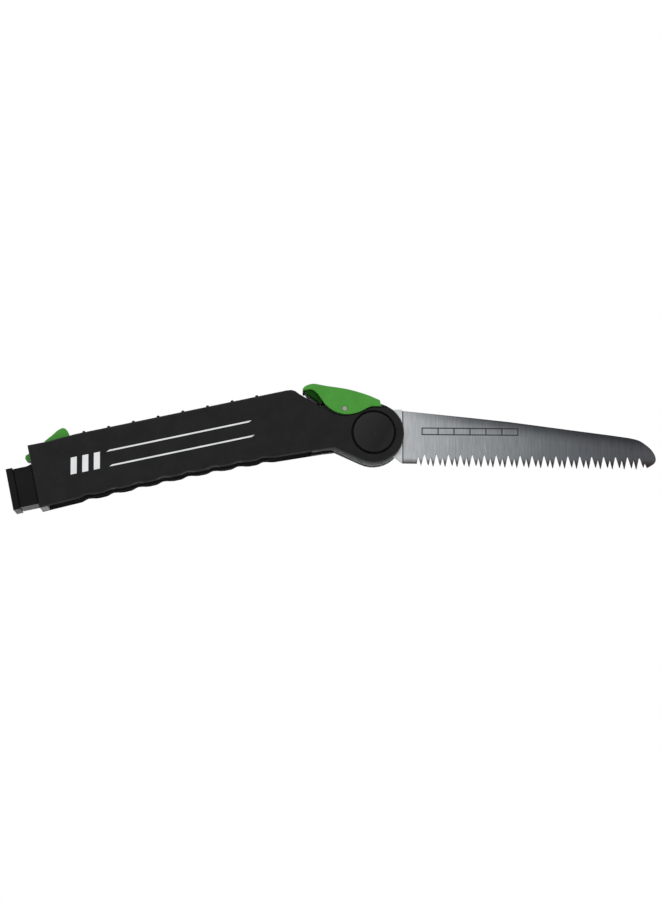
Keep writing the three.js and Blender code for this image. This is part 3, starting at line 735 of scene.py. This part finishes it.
def hood_section(along, top_line, low_line):
    """The hood's cut at one place along the lever, outer line first, then inner."""
    top = height_on(top_line, along)
    low = min(height_on(low_line, along), top - THINNEST_TAB)
    depth = top - low
    half = hood_half(along)
    roof = top - min(HOOD_WALL, TIP_WALL + WALL_GROWTH * (along - HOOD_TOP[0][0]))
    corner = min(HOOD_CORNER, depth * 0.8)
    outer = u_line(half, top, low, corner, min(RIM, depth * 0.3))
    inner_low = min(low, roof - THINNEST_ROOM)
    inner = u_line(half - CHEEK_WALL, roof, inner_low, corner * INNER_CORNER_SHARE, rim=0.0)
    return [at(along, y, z) for y, z in outer + inner[::-1]]


def hood_mesh():
    """The hood as rings of sections, closed at both ends."""
    top_line = spline(HOOD_TOP, 5)
    low_line = spline(HOOD_LOW, 5)
    first, last = HOOD_TOP[0][0] + HOOD_END_GAPS[0], HOOD_TOP[-1][0] - HOOD_END_GAPS[1]
    pitch = (last - first) / HOOD_STATIONS
    rings = [hood_section(first + pitch * i, top_line, low_line) for i in range(HOOD_STATIONS + 1)]
    count = len(rings[0])
    faces = []
    for start in range(0, HOOD_STATIONS * count, count):
        for k in range(count):
            m = (k + 1) % count
            faces.append([start + k, start + m, start + count + m, start + count + k])
    for start in (0, HOOD_STATIONS * count):
        for k in range(count // 2 - 1):
            faces.append([start + k, start + k + 1, start + count - 2 - k, start + count - 1 - k])
    return mesh_from("lock_lever_hood", [point for ring in rings for point in ring], faces)


def add_lock_lever():
    hood = new_object("lock_lever_hood", hood_mesh(), GREEN_PLASTIC)
    cut(hood, rod("pin_hole", LOCK_PIN_HOLE, -20, 20, *LOCK_PIN))
    join_into(hood, prism(NOSE, -NOSE_HALF, NOSE_HALF, round_mm=0.4))
    shade(hood.data, crease_deg=32)
    hood.data.materials.clear()
    hood.data.materials.append(GREEN_PLASTIC)
    stand_for(hood, BODY_OF["lever"], "lock_lever")
    # The web and skirts wear the green plastic's painted-shade copy.
    web = new_object("lock_lever_web", prism(TAB_WEB, -WEB_HALF, WEB_HALF, round_mm=0.8), GREEN_PAINTED_SHADE)
    for near, far in ((SKIRT_INNER, SKIRT_OUTER), (-SKIRT_OUTER, -SKIRT_INNER)):
        join_into(web, prism(SKIRT, near, far, round_mm=0.3))
    shade(web.data, crease_deg=32)
    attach(web, BODY_OF["lever"])


# ---------- caps, carried pieces, springs and small hardware ----------

def add_pivot_caps():
    shoulder = CAP_FACE - CAP_CROWN - CAP_EDGE
    edge = [(CAP_RADIUS - CAP_EDGE + across, shoulder + up) for across, up in arc(CAP_EDGE, 0, 90, 6)]
    dimple = [(CAP_DIMPLE, CAP_FACE), (CAP_DIMPLE * 0.7, CAP_FACE - 0.5), (0.0, CAP_FACE - 0.8)]
    profile = [(0.0, CAP_BACK), (CAP_RADIUS, CAP_BACK), *edge, *dimple]
    for side, word in SIDES:
        cap = turned(f"{word}_pivot_cap_disc", [(r, side * y) for r, y in profile], CAP_FACE_PAINTED_SHADE)
        stand_for(cap, "handle", f"{word}_pivot_cap")


def add_carried_nodes():
    """CAD nodes that keep their shape, with their hard edges softened."""
    for word in ("left", "right"):
        refined(f"{word}_shell", f"{word}_shell_moulding", "handle", SHELL_PLASTIC, edge_mm=0.35)
        refined(f"{word}_tang_plate", f"{word}_bolster_plate", BODY_OF["blade"], PLATE_STEEL, edge_mm=0.25)
        refined(f"{word}_liner", f"{word}_head_liner", "handle", DULL_STEEL, edge_mm=0.15)
    refined("grip_strip", "grip_strip_nubs", "handle", GRIP_RUBBER, edge_mm=0.3)
    refined("rear_foot", "rear_foot_bridge", "handle", FOOT_PLASTIC, edge_mm=0.5)
    refined("end_cap", "end_cap_moulding", BODY_OF["section"], CAP_PLASTIC, edge_mm=0.6)
    refined("extension_section", "extension_channel", BODY_OF["section"], BLACK_METAL, edge_mm=0.3)
    refined("latch_lever", "rear_latch_lever", BODY_OF["latch"], GREEN_PLASTIC, edge_mm=0.6)


def add_springs():
    """Two coils, copied from the CAD in dull steel, riding the handle in place of the spring nodes."""
    for node, joint, keep in SPRINGS:
        mesh = frame["nodes"][node].data.copy()
        mesh.materials.clear()
        shade(mesh, crease_deg=60)
        spring = new_object(f"{node}_coil", mesh, DULL_STEEL)
        stand_for(spring, "handle", node)
        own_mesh(spring)


def paint_small_nodes():
    """The small hardware stays as the CAD draws it."""
    finishes = {"lock_lever_pin": PIN_STEEL, "guide_shoe": CAP_PLASTIC}
    steel = [node for node in frame["nodes"]
             if slot_of(node) == "steel" and "liner" not in node and "spring" not in node]
    for node in [*steel, "guide_shoe"]:
        materials = frame["nodes"][node].data.materials
        for i in range(len(materials)):
            materials[i] = finishes.get(node, DULL_STEEL)


# ---------- stage, lights and camera ----------

def add_stage():
    white = bpy.data.materials.new("pale_floor")
    white.use_nodes = True
    shader = white.node_tree.nodes["Principled BSDF"]
    shader.inputs["Base Color"].default_value = (0.9, 0.9, 0.9, 1)
    shader.inputs["Roughness"].default_value = 0.9
    shader.inputs["Emission Color"].default_value = (1, 1, 1, 1)
    shader.inputs["Emission Strength"].default_value = 0.15
    signs = ((-1, -1), (1, -1), (1, 1), (-1, 1))
    corners = [(x * FLOOR_REACH, y * FLOOR_REACH, FLOOR_LEVEL) for x, y in signs]
    mesh = bpy.data.meshes.new("floor")
    mesh.from_pydata(corners, [], [(0, 1, 2, 3)])
    new_object("floor", mesh, white)


def add_world():
    world = bpy.data.worlds.new("studio")
    bpy.context.scene.world = world
    world.use_nodes = True
    back = world.node_tree.nodes["Background"]
    back.inputs["Color"].default_value = (1, 1, 1, 1)
    back.inputs["Strength"].default_value = 1.0


def add_light(name, place, size, power):
    data = bpy.data.lights.new(name, "AREA")
    data.shape = "RECTANGLE"
    data.size, data.size_y = size
    data.energy = power
    lamp = bpy.data.objects.new(name, data)
    bpy.context.scene.collection.objects.link(lamp)
    lamp.location = PIVOT + Vector(place)
    aim = PIVOT - lamp.location
    lamp.rotation_euler = aim.to_track_quat("-Z", "Y").to_euler()


def add_camera():
    back = Vector((math.sin(AZIMUTH) * math.cos(ELEVATION), -math.cos(AZIMUTH) * math.cos(ELEVATION),
                   math.sin(ELEVATION)))
    level_right = Vector((math.cos(AZIMUTH), math.sin(AZIMUTH), 0))
    level_up = back.cross(level_right)
    right = math.cos(ROLL) * level_right - math.sin(ROLL) * level_up
    up = math.sin(ROLL) * level_right + math.cos(ROLL) * level_up
    data = bpy.data.cameras.new("camera")
    data.sensor_fit = "VERTICAL"
    data.sensor_height = 36
    data.lens = data.sensor_height * (DISTANCE / SCALE) / FRAME_HEIGHT
    data.clip_end = 100
    camera = bpy.data.objects.new("camera", data)
    bpy.context.scene.collection.objects.link(camera)
    place = PIVOT + back * DISTANCE - (right * PIVOT_RIGHT + up * PIVOT_UP) * SCALE
    turn = Matrix((right, up, back)).transposed().to_4x4()
    camera.matrix_world = Matrix.Translation(place) @ turn
    bpy.context.scene.camera = camera


add_blade()
add_blade_mark()
add_lock_lever()
add_pivot_caps()
add_carried_nodes()
add_springs()
paint_small_nodes()
add_handle_print()
add_stage()
add_world()
for light in LIGHTS:
    add_light(*light)
add_camera()
bpy.context.scene.view_settings.view_transform = "Standard"
